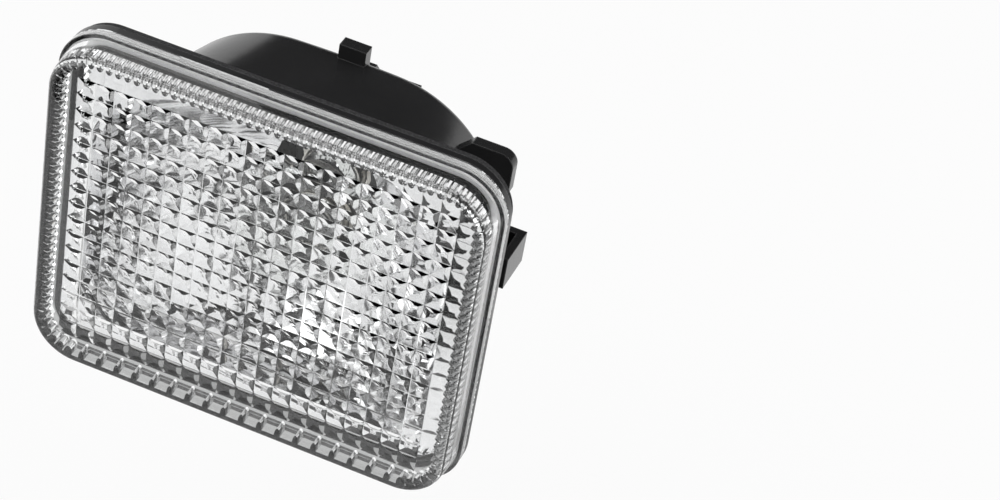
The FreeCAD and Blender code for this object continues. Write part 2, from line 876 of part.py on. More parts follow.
def make_bulb_holder():
    """The twist-in bulb holder: ring and skirt, spigot with bayonet lugs, tier, connector and fins."""
    key_back = lip_front - seat_clearance
    key_front = key_back - bayonet_lug_thickness
    key_radius = tier_radius + bayonet_lug_reach
    spigot_inner = tier_radius - spigot_wall
    skirt_inner = collar_radius + running_clearance
    skirt_front = collar_base_back() + holder_skirt_gap
    socket_outer = socket_bore + socket_wall
    solid = disc(holder_ring_radius, plate_front, ring_back).fuse([
        tube(holder_ring_radius, skirt_inner, skirt_front, plate_front),
        tube(tier_radius, spigot_inner, collar_end - spigot_forward, plate_front),
        bayonet_keys(key_radius, spigot_inner, key_front, key_back, 0, bayonet_turn),
        disc(socket_outer, sleeve_front, ring_back),
        disc(tier_radius, ring_back, tier_end),
        connector_block(),
        fin(1),
        fin(-1),
    ])
    chamber = disc(tier_radius - tier_wall, ring_back, tier_end - tier_wall)
    chamber = chamber.cut(tube(socket_outer, socket_bore, ring_back, sleeve_end - overrun))
    bore = disc(socket_bore, sleeve_front, tier_end - tier_wall)
    openings = [chamber, bore, connector_cavity(), blade_slot(1), blade_slot(-1)]
    return solid.cut(openings + skirt_notches()).removeSplitter()


def make_holder_seal():
    """The rubber ring squeezed between the collar's end and the holder's ring."""
    outer = collar_radius - running_clearance
    return tube(outer, outer - ring_seal_width, collar_end, collar_end + ring_seal_thickness)


def blade_foot_front():
    """The front face of the terminals' foot plates, which bear on the holder's end wall."""
    return tier_end - tier_wall - seat_clearance - blade_thickness


def blade(side):
    """A blade of the connector with its foot plate inside the holder."""
    middle = bulb_axis_height + side * blade_spacing / 2
    half = blade_width / 2
    half_thick = blade_thickness / 2
    back = connector_end - blade_recess
    flat = box(-half_thick, half_thick, blade_foot_front(), back, middle - half, middle + half)
    foot_back = blade_foot_front() + blade_thickness
    foot = box(-half, half, blade_foot_front(), foot_back, middle - half, middle + half)
    return flat.fuse(foot)


def make_terminal_feed():
    """The live terminal: blade, foot plate and a leaf that presses on the bulb's end contact."""
    half = blade_width / 2
    root = blade_foot_front() + blade_thickness / 2
    outer = blade_spacing / 2 + half
    leaf = polygon([
        place(-half, root, outer),
        place(-half, root, outer - 2 * leaf_thickness),
        place(-half, contact_end + leaf_thickness, -half / 2),
        place(-half, contact_end, -half / 2),
        place(-half, contact_end, half / 2),
    ])
    return blade(1).fuse(Part.Face(leaf).extrude(Vector(blade_width, 0, 0))).removeSplitter()


def make_terminal_earth():
    """The earth terminal: blade, foot plate and an arm that stands on the socket sleeve."""
    half = blade_width / 2
    front = blade_foot_front()
    middle = bulb_axis_height - blade_spacing / 2
    inner = bulb_axis_height - sleeve_inner_radius
    outer = bulb_axis_height - sleeve_outer_radius
    link = box(-half, half, front, front + blade_thickness, outer, middle)
    arm = box(-half, half, sleeve_end, front + blade_thickness / 2, outer, inner)
    return blade(-1).fuse([link, arm]).removeSplitter()


def main():
    """Builds every piece and writes one file for each."""
    os.makedirs("parts", exist_ok=True)
    pieces = {
        "lens": make_lens(),
        "lens_seal": make_lens_seal(),
        "housing": make_housing(),
        "mounting_gasket": make_gasket(),
        "spring_clip": make_clip(),
        "reflector": make_reflector(),
        "bulb_glass": make_bulb_glass(),
        "bulb_stem": make_bulb_stem(),
        "bulb_lead_live": make_bulb_lead(1),
        "bulb_lead_earth": make_bulb_lead(-1),
        "bulb_filament": make_bulb_filament(),
        "bulb_cap": make_bulb_cap(),
        "bulb_pin_right": make_bulb_pin(1),
        "bulb_pin_left": make_bulb_pin(-1),
        "bulb_insulator": make_bulb_insulator(),
        "bulb_contact": make_bulb_contact(),
        "bulb_holder": make_bulb_holder(),
        "holder_seal": make_holder_seal(),
        "socket_sleeve": make_socket_sleeve(),
        "terminal_feed": make_terminal_feed(),
        "terminal_earth": make_terminal_earth(),
    }
    for name, shape in pieces.items():
        shape.exportStep(f"parts/{name}.step")


if __name__ == "__main__":
    main()
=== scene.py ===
"""Dresses the rear lamp unit in its real finishes and sets it in a small white studio, in metres.

The lamp's lens faces -Y, X runs to the right as seen from in front of it, and Z is up.
"""
from __future__ import annotations

import logging
import math
from dataclasses import dataclass, field
from enum import Enum
from typing import Any, Callable, Mapping, Optional, Sequence, Tuple, Union

import bmesh
import bpy
from mathutils import Matrix, Vector

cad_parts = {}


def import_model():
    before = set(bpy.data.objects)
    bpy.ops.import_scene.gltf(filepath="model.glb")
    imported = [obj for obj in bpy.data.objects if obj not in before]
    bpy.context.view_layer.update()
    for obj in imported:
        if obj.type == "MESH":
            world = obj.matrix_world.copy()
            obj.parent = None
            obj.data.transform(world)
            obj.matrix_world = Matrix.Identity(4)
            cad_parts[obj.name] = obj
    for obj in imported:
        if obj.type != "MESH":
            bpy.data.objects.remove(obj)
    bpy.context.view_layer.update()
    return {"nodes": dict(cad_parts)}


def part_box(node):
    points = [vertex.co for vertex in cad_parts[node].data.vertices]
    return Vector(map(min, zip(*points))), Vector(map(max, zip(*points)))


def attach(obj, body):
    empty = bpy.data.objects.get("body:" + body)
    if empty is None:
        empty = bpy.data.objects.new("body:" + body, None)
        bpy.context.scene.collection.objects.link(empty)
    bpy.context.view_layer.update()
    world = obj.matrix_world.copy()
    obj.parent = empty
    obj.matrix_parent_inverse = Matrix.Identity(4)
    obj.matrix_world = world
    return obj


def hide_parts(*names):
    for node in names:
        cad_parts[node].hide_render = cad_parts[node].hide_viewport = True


LOG = logging.getLogger("lamp")
MM = 0.001
BODY = "root"
# Points nearer to each other than this count as one
TOUCH = 0.01 * MM
BEVEL_SAMPLES = 6
# Greys of the studio cards, painted shade that shows only in reflections and through the lens
PAINTED_SHADE = 0.03
# Grey of the card under the lamp: a painted shadow of the lamp on the floor, seen through the lens
PAINTED_SHADOW = 0.5

Colour = Tuple[float, float, float]
Point = Tuple[float, float, float]
Value = Union["Signal", float, int, Sequence[float]]


class Signal:
    """A shader value that takes part in arithmetic, each operation adding a Math node."""

    def __init__(self, bench: "ShaderBench", socket: bpy.types.NodeSocket) -> None:
        """Keeps the bench that adds nodes and the socket that carries the value."""
        self.bench = bench
        self.socket = socket

    def _math(self, operation: str, first: Value, second: Value) -> "Signal":
        """Adds one Math node.

        Args:
            operation: The Math node's operation.
            first: Its first value.
            second: Its second value.

        Returns:
            The node's result.
        """
        return self.bench.add("ShaderNodeMath", {"operation": operation}, {0: first, 1: second})

    def __add__(self, other: Value) -> "Signal":
        """This value plus another."""
        return self._math("ADD", self, other)

    def __rsub__(self, other: Value) -> "Signal":
        """Another value less this."""
        return self._math("SUBTRACT", other, self)

    def __mul__(self, other: Value) -> "Signal":
        """This value times another."""
        return self._math("MULTIPLY", self, other)

    def __pow__(self, other: Value) -> "Signal":
        """This value to a power."""
        return self._math("POWER", self, other)

    def __or__(self, other: Value) -> "Signal":
        """The larger of this value and another."""
        return self._math("MAXIMUM", self, other)


class ShaderBench:
    """Builds one node tree, for a material or for the world."""

    def __init__(self, owner: Union[bpy.types.Material, bpy.types.World]) -> None:
        """Empties the owner's node tree and keeps it."""
        owner.use_nodes = True
        self.tree = owner.node_tree
        self.tree.nodes.clear()

    def add(
        self,
        kind: str,
        settings: Optional[Mapping[str, Any]] = None,
        inputs: Optional[Mapping[Union[str, int], Value]] = None,
        output: Union[str, int] = 0,
    ) -> Signal:
        """Adds any node.

        Args:
            kind: The node's type.
            settings: Its settings.
            inputs: Values or links of its sockets, by name or number.
            output: The socket that is handed back.

        Returns:
            The node's chosen output.
        """
        node = self.tree.nodes.new(kind)
        for key, value in (settings or {}).items():
            setattr(node, key, value)
        for key, value in (inputs or {}).items():
            if isinstance(value, Signal):
                self.tree.links.new(value.socket, node.inputs[key])
            else:
                node.inputs[key].default_value = value
        return Signal(self, node.outputs[output] if node.outputs else None)

    def place(self) -> Signal:
        """Object coordinates, in metres."""
        return self.add("ShaderNodeTexCoord", output="Object")

    def stretched(self, scale: Point) -> Signal:
        """Object coordinates scaled along each axis."""
        return self.add("ShaderNodeMapping", {}, {"Vector": self.place(), "Scale": scale})

    def noise(self, place: Signal, size: float, detail: float = 2.0) -> Signal:
        """Cloudy noise.

        Args:
            place: Where it is read.
            size: The size of its patches in metres.
            detail: How many finer layers it has.

        Returns:
            A value about one half.
        """
        inputs = {"Vector": place, "Scale": 1.0 / size, "Detail": detail}
        return self.add("ShaderNodeTexNoise", {}, inputs, "Fac")

    def tint(self, factor: Value, first: Colour, second: Colour) -> Signal:
        """A colour between two others."""
        colours = {"Factor": factor, 6: (*first, 1.0), 7: (*second, 1.0)}
        return self.add("ShaderNodeMix", {"data_type": "RGBA"}, colours, 2)

    def bump(self, height: Signal, depth: float, normal: Optional[Signal] = None) -> Signal:
        """A surface normal tilted by a height.

        Args:
            height: The height, from 0 to 1.
            depth: The depth in metres that a height of 1 stands for.
            normal: The normal that it starts from.

        Returns:
            The tilted normal.
        """
        inputs: dict[Union[str, int], Value] = {"Strength": 1.0, "Distance": depth, "Height": height}
        if normal is not None:
            inputs["Normal"] = normal
        return self.add("ShaderNodeBump", {}, inputs, "Normal")

    def rounded_edges(self, radius: float) -> Signal:
        """A normal that rounds off sharp edges by a radius."""
        return self.add("ShaderNodeBevel", {"samples": BEVEL_SAMPLES}, {"Radius": radius}, "Normal")

    def surface(self, inputs: Mapping[Union[str, int], Value]) -> None:
        """Ends a material with a Principled shader."""
        shader = self.add("ShaderNodeBsdfPrincipled", {}, inputs, "BSDF")
        self.output(shader, "ShaderNodeOutputMaterial")

    def output(self, shader: Signal, kind: str) -> None:
        """Links a shader to the tree's output node."""
        self.add(kind, {}, {"Surface": shader})


@dataclass(frozen=True)
class MouldedPlastic:
    """An opaque moulding with a fine skin, a little unevenness in its gloss and rounded edges."""

    name: str
    colour: Colour
    roughness: float
    gloss_spread: float
    skin_size: float
    skin_depth: float
    edge_round: float
    specular: float = 0.5
    cloud_size: float = 12 * MM
    cloud_lift: float = 1.35

    def make(self) -> bpy.types.Material:
        """Returns the finish as a new material."""
        material = bpy.data.materials.new(self.name)
        bench = ShaderBench(material)
        place = bench.place()
        cloud = bench.noise(place, self.cloud_size, 3.0)
        skin = bench.noise(place, self.skin_size, 2.0)
        lighter = tuple(channel * self.cloud_lift for channel in self.colour)
        bench.surface({
            "Base Color": bench.tint(cloud, self.colour, lighter),
            "Roughness": cloud * self.gloss_spread + (self.roughness - self.gloss_spread / 2),
            "Specular IOR Level": self.specular,
            "Normal": bench.bump(skin, self.skin_depth, bench.rounded_edges(self.edge_round)),
        })
        return material


@dataclass(frozen=True)
class ClearMoulding:
    """A clear moulding or blown glass, with the faint unevenness of its surface."""

    name: str
    colour: Colour
    index: float
    wave_size: float
    wave_depth: float
    haze: float = 0.012

    def make(self) -> bpy.types.Material:
        """Returns the finish as a new material."""
        material = bpy.data.materials.new(self.name)
        bench = ShaderBench(material)
        wave = bench.noise(bench.place(), self.wave_size, 1.0)
        bench.surface({
            "Base Color": (*self.colour, 1.0),
            "Roughness": wave * self.haze,
            "IOR": self.index,
            "Transmission Weight": 1.0,
            "Normal": bench.bump(wave, self.wave_depth),
        })
        return material


@dataclass(frozen=True)
class SheetMetal:
    """Bare or plated metal with streaks left by rolling, drawing or polishing."""

    name: str
    colour: Colour
    stain: Colour
    roughness: float
    streak: Point
    streak_depth: float
    edge_round: float
    cloud_size: float = 5 * MM
    cloud_share: float = 0.6
    gloss_spread: float = 0.22

    def make(self) -> bpy.types.Material:
        """Returns the finish as a new material."""
        material = bpy.data.materials.new(self.name)
        bench = ShaderBench(material)
        streaks = bench.noise(bench.stretched(self.streak), 1.0, 3.0)
        cloud = bench.noise(bench.place(), self.cloud_size, 3.0)
        stained = cloud * self.cloud_share + streaks * (1.0 - self.cloud_share)
        bench.surface({
            "Base Color": bench.tint(stained, self.colour, self.stain),
            "Metallic": 1.0,
            "Roughness": streaks * self.gloss_spread + (self.roughness - self.gloss_spread / 2),
            "Normal": bench.bump(streaks, self.streak_depth, bench.rounded_edges(self.edge_round)),
        })
        return material


@dataclass(frozen=True)
class MetallisedMirror:
    """Vacuum-metallised plastic: a bright mirror with the slight ripple of the moulding under it."""

    name: str
    colour: Colour
    roughness: float
    ripple_size: float
    ripple_depth: float
    dulling: float = 0.9
    haze: float = 0.05

    def make(self) -> bpy.types.Material:
        """Returns the finish as a new material."""
        material = bpy.data.materials.new(self.name)
        bench = ShaderBench(material)
        ripple = bench.noise(bench.place(), self.ripple_size, 2.0)
        dulled = tuple(channel * self.dulling for channel in self.colour)
        bench.surface({
            "Base Color": bench.tint(ripple, self.colour, dulled),
            "Metallic": 1.0,
            "Roughness": ripple * self.haze + self.roughness,
            "Normal": bench.bump(ripple, self.ripple_depth),
        })
        return material


@dataclass(frozen=True)
class FoamRubber:
    """Closed-cell foam: matt, with fine pores and paler skinned-over specks."""

    name: str
    colour: Colour
    speck: Colour
    pore_size: float
    pore_depth: float
    pore_share: float = 0.6
    speck_share: float = 0.8
    speck_contrast: float = 3.0
    speck_gain: float = 2.5
    roughness: float = 0.97
    speck_gloss: float = 0.25
    specular: float = 0.3

    def make(self) -> bpy.types.Material:
        """Returns the finish as a new material."""
        material = bpy.data.materials.new(self.name)
        bench = ShaderBench(material)
        place = bench.place()
        cells = {"Vector": place, "Scale": 1.0 / self.pore_size}
        pores = bench.add("ShaderNodeTexVoronoi", {"feature": "F1"}, cells, "Distance")
        specks = bench.noise(place, self.pore_size, 4.0)
        height = pores * self.pore_share + specks * self.speck_share
        pale = specks ** self.speck_contrast * self.speck_gain
        bench.surface({
            "Base Color": bench.tint(pale, self.colour, self.speck),
            "Roughness": self.roughness - specks * self.speck_gloss,
            "Specular IOR Level": self.specular,
            "Normal": bench.bump(height, self.pore_depth),
        })
        return material


class Operation(Enum):
    """How one solid acts on another."""

    JOIN = "UNION"
    CUT = "DIFFERENCE"


class Workshop:
    """The modelling operators that the pieces are made with."""

    @staticmethod
    def start() -> None:
        """Leaves edit mode and deselects everything."""
        if bpy.context.object is not None and bpy.context.object.mode != "OBJECT":
            bpy.ops.object.mode_set(mode="OBJECT")
        bpy.ops.object.select_all(action="DESELECT")

    @staticmethod
    def select(obj: bpy.types.Object) -> None:
        """Makes one object the only selected and the active one."""
        Workshop.start()
        obj.select_set(True)
        bpy.context.view_layer.objects.active = obj

    @staticmethod
    def named(name: str) -> bpy.types.Object:
        """Names the new primitive and puts its place, turn and scale into its mesh."""
        obj = bpy.context.object
        obj.name = name
        obj.data.name = name
        bpy.ops.object.transform_apply(location=True, rotation=True, scale=True)
        return obj

    @staticmethod
    def block(name: str, low: Vector, high: Vector) -> bpy.types.Object:
        """Adds a cuboid between two corners."""
        Workshop.start()
        bpy.ops.mesh.primitive_cube_add(size=1.0, location=(low + high) / 2, scale=high - low)
        return Workshop.named(name)

    @staticmethod
    def pick_edges(obj: bpy.types.Object, test: Callable[[Vector, Vector], bool]) -> None:
        """Goes into edit mode and selects the edges whose two ends pass a test."""
        Workshop.select(obj)
        bpy.ops.object.mode_set(mode="EDIT")
        bpy.ops.mesh.select_mode(type="EDGE")
        bpy.ops.mesh.select_all(action="DESELECT")
        mesh = bmesh.from_edit_mesh(obj.data)
        for edge in mesh.edges:
            edge.select_set(test(edge.verts[0].co, edge.verts[1].co))
        bmesh.update_edit_mesh(obj.data)

    @staticmethod
    def pick_all(obj: bpy.types.Object) -> None:
        """Goes into edit mode and selects the whole mesh."""
        Workshop.select(obj)
        bpy.ops.object.mode_set(mode="EDIT")
        bpy.ops.mesh.select_all(action="SELECT")

    @staticmethod
    def done() -> None:
        """Goes back to object mode."""
        bpy.ops.object.mode_set(mode="OBJECT")

    @staticmethod
    def bevel(width: float, segments: int) -> None:
        """Bevels the selected edges."""
        bpy.ops.mesh.bevel(offset_type="OFFSET", offset=width, segments=segments, affect="EDGES")

    @staticmethod
    def modify(obj: bpy.types.Object, kind: str, settings: Mapping[str, Any]) -> None:
        """Adds a modifier, sets it and applies it.

        Args:
            obj: The object that gets it.
            kind: The modifier's type.
            settings: Its settings.
        """
        modifier = obj.modifiers.new(kind.title(), kind)
        for key, value in settings.items():
            setattr(modifier, key, value)
        Workshop.select(obj)
        bpy.ops.object.modifier_apply(modifier=modifier.name)

    @staticmethod
    def combine(
        obj: bpy.types.Object,
        tool: bpy.types.Object,
        operation: Operation,
        crossing: bool = False,
    ) -> None:
        """Joins another solid to an object or cuts it away, and removes that solid.

        Args:
            obj: The object that is changed.
            tool: The other solid.
            operation: What the other solid does.
            crossing: True if the other solid's own shells cross each other.
        """
        Workshop.modify(obj, "BOOLEAN", {
            "operation": operation.value,
            "solver": "EXACT",
            "object": tool,
            "use_self": crossing,
        })
        bpy.data.objects.remove(tool)

    @staticmethod
    def repeat(obj: bpy.types.Object, step: Point, count: int, merge: bool = False) -> None:
        """Repeats an object in a row.

        Args:
            obj: The object.
            step: The step from one copy to the next.
            count: How many there are in all.
            merge: True if neighbours share their edges.
        """
        Workshop.modify(obj, "ARRAY", {
            "use_relative_offset": False,
            "use_constant_offset": True,
            "constant_offset_displace": step,
            "count": count,
            "use_merge_vertices": merge,
            "merge_threshold": TOUCH,
        })

    @staticmethod
    def gather(pieces: Sequence[bpy.types.Object]) -> bpy.types.Object:
        """Joins several objects into the first one's mesh."""
        Workshop.select(pieces[0])
        for piece in pieces:
            piece.select_set(True)
        bpy.ops.object.join()
        return pieces[0]

    @staticmethod
    def copies(pattern: bpy.types.Object, places: Sequence[Matrix]) -> bpy.types.Object:
        """Copies a pattern to several places, joins the copies and removes the pattern.

        Args:
            pattern: The object that is copied.
            places: The move of each copy.

        Returns:
            The joined copies.
        """
        made = []
        for place in places:
            copy = pattern.copy()
            copy.data = pattern.data.copy()
            copy.data.transform(place)
            bpy.context.scene.collection.objects.link(copy)
            made.append(copy)
        bpy.data.objects.remove(pattern)
        return Workshop.gather(made)

    @staticmethod
    def smooth(obj: bpy.types.Object, degrees: float) -> None:
        """Shades faces smooth where they meet at less than an angle."""
        Workshop.select(obj)
        bpy.ops.object.shade_smooth_by_angle(angle=math.radians(degrees))


def dress(obj: bpy.types.Object, material: bpy.types.Material) -> None:
    """Gives an object one material all over."""
    obj.data.materials.clear()
    obj.data.materials.append(material)


def settle(obj: bpy.types.Object, node: str) -> None:
    """Puts a finished piece in the place of a CAD node.

    Args:
        obj: The piece.
        node: The node that it stands for.
    """
    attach(obj, BODY)
    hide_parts(node)
    LOG.info("%s: %d faces", obj.name, len(obj.data.polygons))


@dataclass
class PrismLens:
    """The clear lens: a tray with pillow prisms on its plate and ribs round the inside of its walls."""

    wall: float = 2.4 * MM
    plate: float = 2.4 * MM
    foot_height: float = 2.4 * MM
    foot_lip: float = 0.7 * MM
    foot_edge: float = 0.25 * MM
    foot_edge_steps: int = 3
    taper: float = 0.9 * MM
    corner: float = 12.5 * MM
    corner_steps: int = 14
    edge_round: float = 1.6 * MM
    edge_steps: int = 9
    columns: int = 20
    rows: int = 17
    cell_spokes: int = 16
    prism_land: float = 0.2 * MM
    prism_rise: float = 0.85 * MM
    dome_rise: float = 0.6 * MM
    prism_reach: float = 0.965
    field_margin: float = 3.4 * MM
    rib_height: float = 1.2 * MM
    rib_pitch: float = 2.3 * MM
    rib_width: float = 2.2 * MM
    rib_pitch_bottom: float = 4.6 * MM
    rib_width_bottom: float = 1.5 * MM
    rib_back_gap: float = 4.8 * MM
    groove_depth: float = 1.1 * MM
    corner_ribs: int = 6
    rib_sink: float = 0.6 * MM
    rib_sides: int = 32
    weld: float = 0.3 * MM
    overrun: float = 1.0 * MM
    smooth_angle: float = 13.0
    half_width: float = field(init=False)
    half_height: float = field(init=False)
    front: float = field(init=False)
    back: float = field(init=False)
    floor: float = field(init=False)
    inset: float = field(init=False)
    lean: float = field(init=False)
    rib_back: float = field(init=False)
    field_x: float = field(init=False)
    field_z: float = field(init=False)
    groove_corner: float = field(init=False)
    side_x: float = field(init=False)
    side_z: float = field(init=False)

    def measure(self) -> None:
        """Reads the lens's place from the frame and works out its inner sizes."""
        low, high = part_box("lens")
        self.half_width = (high.x - low.x) / 2
        self.half_height = (high.z - low.z) / 2
        self.front = low.y
        self.back = high.y
        self.floor = low.y + self.plate
        self.inset = self.foot_lip + self.wall
        self.lean = self.taper / (self.back - self.front)
        self.rib_back = self.back - self.rib_back_gap
        rib_inset = self.inset + self.lean * (self.back - self.floor)
        self.field_x = self.half_width - rib_inset - self.rib_height - self.field_margin
        self.field_z = self.half_height - rib_inset - self.rib_height - self.field_margin
        groove_inset = rib_inset - self.groove_depth
        self.groove_corner = self.corner - groove_inset
        self.side_x = self.half_width - self.corner
        self.side_z = self.half_height - self.corner

    def rounded_block(
        self,
        name: str,
        inset: float,
        front: float,
        back: float,
        taper: float,
    ) -> bpy.types.Object:
        """A block with the lens's rounded outline, narrower towards its front.

        Args:
            name: The new object's name.
            inset: How far its back outline lies inside the lens's.
            front: Its front plane.
            back: Its back plane.
            taper: How much narrower each side is at the front.

        Returns:
            The block.
        """
        reach = Vector((self.half_width - inset, 0.0, self.half_height - inset))
        low = Vector((-reach.x, front, -reach.z))
        high = Vector((reach.x, back, reach.z))
        block = Workshop.block(name, low, high)
        Workshop.pick_edges(block, lambda a, b: abs(a.y - b.y) > (back - front) / 2)
        Workshop.bevel(self.corner - inset, self.corner_steps)
        Workshop.done()
        if taper > 0.0:
            self.front_loop(block, front)
            narrow = (1.0 - taper / reach.x, 1.0, 1.0 - taper / reach.z)
            bpy.ops.transform.resize(value=narrow, center_override=(0.0, front, 0.0))
            Workshop.done()
        return block

    @staticmethod
    def front_loop(obj: bpy.types.Object, front: float) -> None:
        """Selects the edges that lie in a front plane."""
        nearly = front + TOUCH
        Workshop.pick_edges(obj, lambda a, b: a.y < nearly and b.y < nearly)

    def tray(self) -> bpy.types.Object:
        """The tray with its rounded front edge, its foot and its hollow."""
        body = self.rounded_block("prism_lens", self.foot_lip, self.front, self.back, self.taper)
        self.front_loop(body, self.front)
        Workshop.bevel(self.edge_round, self.edge_steps)
        Workshop.done()
        foot_front = self.back - self.foot_height
        foot = self.rounded_block("lens_foot", 0.0, foot_front, self.back, 0.0)
        self.front_loop(foot, foot_front)
        Workshop.bevel(self.foot_edge, self.foot_edge_steps)
        Workshop.done()
        Workshop.combine(body, foot, Operation.JOIN)
        groove_inset = self.inset + self.lean * self.rib_back_gap - self.groove_depth
        groove_taper = self.lean * (self.rib_back - self.floor)
        grooves = self.rounded_block(
            "lens_grooves", groove_inset, self.floor, self.rib_back, groove_taper
        )
        Workshop.combine(body, grooves, Operation.CUT)
        mouth_front = self.rib_back - self.overrun
        mouth_taper = self.lean * (self.back - mouth_front)
        mouth_back = self.back + self.overrun
        mouth = self.rounded_block("lens_mouth", self.inset, mouth_front, mouth_back, mouth_taper)
        Workshop.combine(body, mouth, Operation.CUT)
        return body

    def facet_end(self, lean: float) -> float:
        """Where a prism's side facets meet its domed top.

        Args:
            lean: The slant of a spoke from the cell's middle, from 0 to a side to 1 to a corner.

        Returns:
            The place along the spoke, from 0 in the middle to 1 on the cell's border.
        """
        ratio = self.prism_rise / self.dome_rise
        bow = 1.0 + lean * lean
        return (ratio - math.sqrt(ratio * ratio - 2.0 * bow * (ratio - 1.0))) / bow

    def pillow(self, u: float, v: float) -> float:
        """Height of one pillow prism: a low dome cut by four facets that slope down to the cell's borders.

        Args:
            u: Place across the cell, from -1 to 1.
            v: Place up the cell, from -1 to 1.

        Returns:
            The height over the land between the prisms.
        """
        facet = self.prism_rise * (1.0 - max(abs(u), abs(v)))
        dome = self.dome_rise * (1.0 - (u * u + v * v) / 2.0)
        return max(0.0, min(facet, dome))

    def shape_cell(
        self,
        cell: bpy.types.Object,
        centre: Vector,
        half_x: float,
        half_z: float,
    ) -> None:
        """Moves the rings of a flat disc to the dome, the facets and the border of a prism.

        Args:
            cell: A disc of four rings about the origin, a unit apart.
            centre: The cell's middle on the land between the prisms.
            half_x: Half the cell's width.
            half_z: Half the cell's height.
        """
        for vertex in cell.data.vertices:
            ring = round(math.hypot(vertex.co.x, vertex.co.z))
            reach = max(abs(vertex.co.x), abs(vertex.co.z), 1e-6)
            border_u, border_v = vertex.co.x / reach, vertex.co.z / reach
            facet_end = self.facet_end(min(abs(border_u), abs(border_v)))
            share = (0.0, facet_end / 2.0, facet_end, 1.0, 1.0 / self.prism_reach)[ring]
            u, v = share * border_u, share * border_v
            across = u * half_x * self.prism_reach
            upward = v * half_z * self.prism_reach
            vertex.co = centre + Vector((across, self.pillow(u, v), upward))

    def prisms(self) -> bpy.types.Object:
        """The slab of pillow prisms, its bottom sunk into the lens plate."""
        half_x = self.field_x / self.columns
        half_z = self.field_z / self.rows
        land = self.floor + self.prism_land
        centre = Vector((half_x - self.field_x, land, half_z - self.field_z))
        Workshop.start()
        bpy.ops.mesh.primitive_circle_add(
            vertices=self.cell_spokes,
            radius=1.0,
            fill_type="TRIFAN",
            rotation=(-math.pi / 2, 0.0, 0.0),
        )
        sheet = Workshop.named("prism_field")
        for ring in (2, 3, 4):
            self.border_loop(sheet)
            bpy.ops.mesh.extrude_edges_move()
            bpy.ops.transform.resize(value=(ring / (ring - 1),) * 3, center_override=(0.0, 0.0, 0.0))
            Workshop.done()
        self.shape_cell(sheet, centre, half_x, half_z)
        Workshop.repeat(sheet, (2 * half_x, 0.0, 0.0), self.columns, merge=True)
        Workshop.repeat(sheet, (0.0, 0.0, 2 * half_z), self.rows, merge=True)
        self.border_loop(sheet)
        sink = (0.0, -self.prism_land - self.weld, 0.0)
        bpy.ops.mesh.extrude_edges_move(TRANSFORM_OT_translate={"value": sink})
        bpy.ops.mesh.edge_face_add()
        bpy.ops.mesh.select_all(action="SELECT")
        bpy.ops.mesh.normals_make_consistent(inside=False)
        Workshop.done()
        return sheet

    @staticmethod
    def border_loop(obj: bpy.types.Object) -> None:
        """Selects the open border of a sheet."""
        Workshop.pick_all(obj)
        bpy.ops.mesh.select_mode(type="EDGE")
        bpy.ops.mesh.region_to_loop()

    def side_places(self, quarter: int, pitch: float) -> list[Matrix]:
        """Where the ribs of one side stand.

        Args:
            quarter: The side, from 0 at +X by quarter turns to +Z, -X and -Z.
            pitch: The pitch of its ribs.

        Returns:
            The moves from a rib on the Y axis that points to +X.
        """
        across, along = ((self.side_x, self.side_z), (self.side_z, self.side_x))[quarter % 2]
        turn = Matrix.Rotation(-quarter * math.pi / 2, 4, "Y")
        count = round(2 * along / pitch)
        out = across + self.groove_corner
        steps = [along * ((2 * index + 1) / count - 1.0) for index in range(count)]
        return [turn @ Matrix.Translation((out, 0.0, step)) for step in steps]

    def corner_places(self, quarter: int) -> list[Matrix]:
        """Where the ribs of one corner stand.

        Args:
            quarter: The corner, from 0 between +X and +Z by quarter turns.

        Returns:
            The moves from a rib on the Y axis that points to +X.
        """
        sign_x, sign_z = ((1, 1), (-1, 1), (-1, -1), (1, -1))[quarter]
        centre = Matrix.Translation((sign_x * self.side_x, 0.0, sign_z * self.side_z))
        out = Matrix.Translation((self.groove_corner, 0.0, 0.0))
        shares = [(index + 0.5) / self.corner_ribs for index in range(self.corner_ribs)]
        turns = [-(quarter + share) * math.pi / 2 for share in shares]
        return [centre @ Matrix.Rotation(turn, 4, "Y") @ out for turn in turns]

    def rib(self, width: float) -> bpy.types.Object:
        """One round rib on the Y axis that points to -X, with a flat back sunk into the wall.

        Args:
            width: Its width on the wall.

        Returns:
            The rib.
        """
        front = self.floor - self.weld
        Workshop.start()
        bpy.ops.mesh.primitive_cylinder_add(
            vertices=self.rib_sides,
            radius=1.0,
            depth=self.rib_back - front,
            location=(0.0, (front + self.rib_back) / 2, 0.0),
            rotation=(math.pi / 2, 0.0, 0.0),
            scale=(self.rib_height + self.groove_depth, width / 2, 1.0),
        )
        rib = Workshop.named("wall_rib")
        Workshop.pick_all(rib)
        bpy.ops.mesh.bisect(
            plane_co=(self.rib_sink, 0.0, 0.0),
            plane_no=(1.0, 0.0, 0.0),
            use_fill=True,
            clear_outer=True,
        )
        Workshop.done()
        return rib

    def ribs(self) -> bpy.types.Object:
        """Round ribs on the inside of the walls and corners, running from front to back."""
        fine = [place for quarter in (0, 1, 2) for place in self.side_places(quarter, self.rib_pitch)]
        fine += [place for quarter in range(4) for place in self.corner_places(quarter)]
        coarse = self.side_places(3, self.rib_pitch_bottom)
        return Workshop.gather([
            Workshop.copies(self.rib(self.rib_width), fine),
            Workshop.copies(self.rib(self.rib_width_bottom), coarse),
        ])

    def build(self, finish: ClearMoulding) -> None:
        """Makes the lens and puts it in its node's place."""
        self.measure()
        lens = self.tray()
        Workshop.combine(lens, self.ribs(), Operation.JOIN, crossing=True)
        Workshop.combine(lens, self.prisms(), Operation.JOIN)
        Workshop.smooth(lens, self.smooth_angle)
        dress(lens, finish.make())
        settle(lens, "lens")


